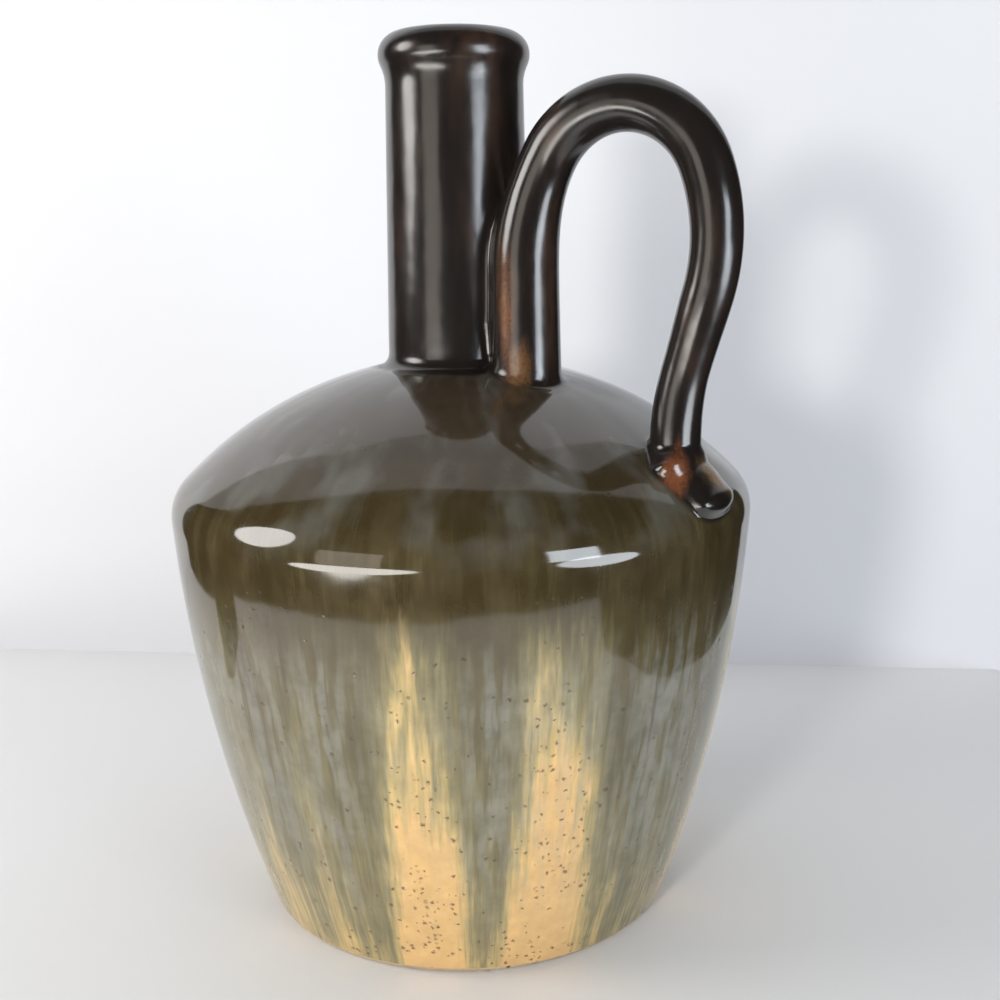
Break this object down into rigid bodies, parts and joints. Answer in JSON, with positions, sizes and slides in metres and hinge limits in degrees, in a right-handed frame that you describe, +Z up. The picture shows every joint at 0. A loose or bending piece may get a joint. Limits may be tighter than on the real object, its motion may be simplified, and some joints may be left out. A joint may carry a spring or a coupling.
{
  "type": "stoneware jug",
  "caption": "Tall-necked glazed stoneware jug with a domed shoulder, a tapered belly on a flat foot and a looped handle from the root of the neck to the shoulder",
  "frame": {"origin": "centre of the flat base, on the plane the jug stands on", "axes": "+Z up along the axis of the pot; +X towards the side that the handle loops over; the handle's own plane is parallel to XZ, 8.6 mm to the -Y side of the axis"},
  "size_m": [0.1677, 0.164, 0.245],
  "materials": {
    "stoneware": "fired, unglazed, matt",
    "slip": "fired, matt",
    "belly_glaze": "glossy, streaked olive brown to buff",
    "dark_glaze": "glossy, bronze black",
    "liner_glaze": "glossy, dark brown"
  },
  "bodies": {
    "root": {"body": "stoneware", "neck": "stoneware", "handle": "stoneware", "neck_lute": "slip", "handle_root_lute": "slip", "handle_toe_lute": "slip", "body_glaze": "belly_glaze", "neck_glaze": "dark_glaze", "handle_glaze": "dark_glaze", "liner_glaze": "liner_glaze"}
  },
  "joints": []
}
